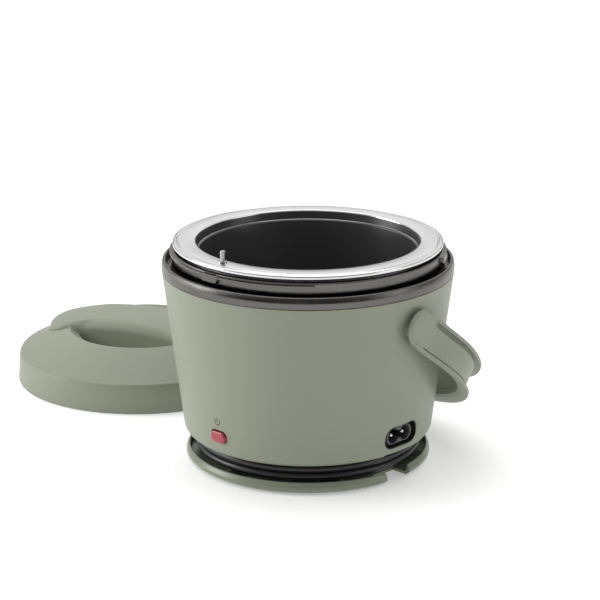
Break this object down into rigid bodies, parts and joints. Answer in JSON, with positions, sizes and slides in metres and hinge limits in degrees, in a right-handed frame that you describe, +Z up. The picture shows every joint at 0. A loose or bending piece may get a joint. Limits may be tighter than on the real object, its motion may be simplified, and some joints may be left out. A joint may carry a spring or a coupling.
{
  "type": "electric lunch box",
  "caption": "Portable electric food warmer: tapered round body, lift-out steel container, twist-on lid with grip bar, folding bail handle, and a cord stored under the body.",
  "frame": {"origin": "on the body's axis, at the table, on the underside of the centre foot", "axes": "+Z up, +X towards the appliance inlet and the near ear of the handle, -Y towards the power lamp, +Y towards the back, where the folded handle lies"},
  "size_m": [0.3178, 0.1804, 0.1245],
  "materials": {
    "painted_green": "satin sage green",
    "gunmetal": "dark brushed steel",
    "polished_steel": "bright satin steel",
    "well_metal": "mill",
    "dark_plastic": "matt black",
    "black_rubber": "matt black",
    "seal_rubber": "matt pale grey",
    "cord_black": "glossy black",
    "lamp_red": "clear red",
    "lamp_glass": "clear",
    "insulation": "felted",
    "mica": "matt",
    "liner_plastic": "matt pale grey",
    "plated": "plated",
    "handle_pad": "matt"
  },
  "bodies": {
    "body": {"outer_shell": "painted_green", "trim_band": "gunmetal", "threaded_collar": "gunmetal", "heating_well": "well_metal", "well_gasket": "black_rubber", "band_heater": "mica", "heater_strap": "polished_steel", "insulation_sleeve": "insulation", "heater_plate": "polished_steel", "thermostat": "dark_plastic", "thermal_fuse": "polished_steel", "standoff_1": "polished_steel", "standoff_2": "polished_steel", "standoff_3": "polished_steel", "bottom_cover": "dark_plastic", "cover_screw_1": "plated", "cover_screw_2": "plated", "cover_screw_3": "plated", "inlet_housing": "dark_plastic", "inlet_pin_1": "plated", "inlet_pin_2": "plated", "inlet_leads": "insulation", "power_lens": "lamp_red", "pilot_lamp": "lamp_glass", "lamp_holder": "dark_plastic", "pivot_pin_right": "plated", "pivot_pin_left": "plated", "pivot_washer_right": "dark_plastic", "pivot_washer_left": "dark_plastic", "cord_spool": "dark_plastic", "base_plate": "painted_green", "base_screw_1": "plated", "base_screw_2": "plated", "base_screw_3": "plated", "foot_centre": "black_rubber", "foot_1": "black_rubber", "foot_2": "black_rubber", "foot_3": "black_rubber", "foot_4": "black_rubber", "cord_coil": "cord_black", "cord_connector": "cord_black", "cord_plug": "cord_black", "plug_blade_1": "plated", "plug_blade_2": "plated"},
    "handle": {"handle": "painted_green", "grip_insert": "handle_pad", "ear_cap_right": "painted_green", "ear_cap_left": "painted_green"},
    "container": {"food_container": "polished_steel", "locating_pin": "polished_steel"},
    "lid": {"lid_shell": "painted_green", "lid_liner": "liner_plastic", "lid_seal": "seal_rubber"}
  },
  "joints": [
    {"name": "handle_swing", "type": "hinge", "parent": "body", "child": "handle", "pos_m": [0, 0, 0.086], "axis": [1, 0, 0], "range_deg": [0, 257]},
    {"name": "container_lift", "type": "slide", "parent": "body", "child": "container", "axis": [0, 0, 1], "range_m": [0, 0.11]},
    {"name": "lid_lift", "type": "slide", "parent": "body", "child": "lid", "axis": [0, 0, 1], "range_m": [0, 0.14]}
  ]
}
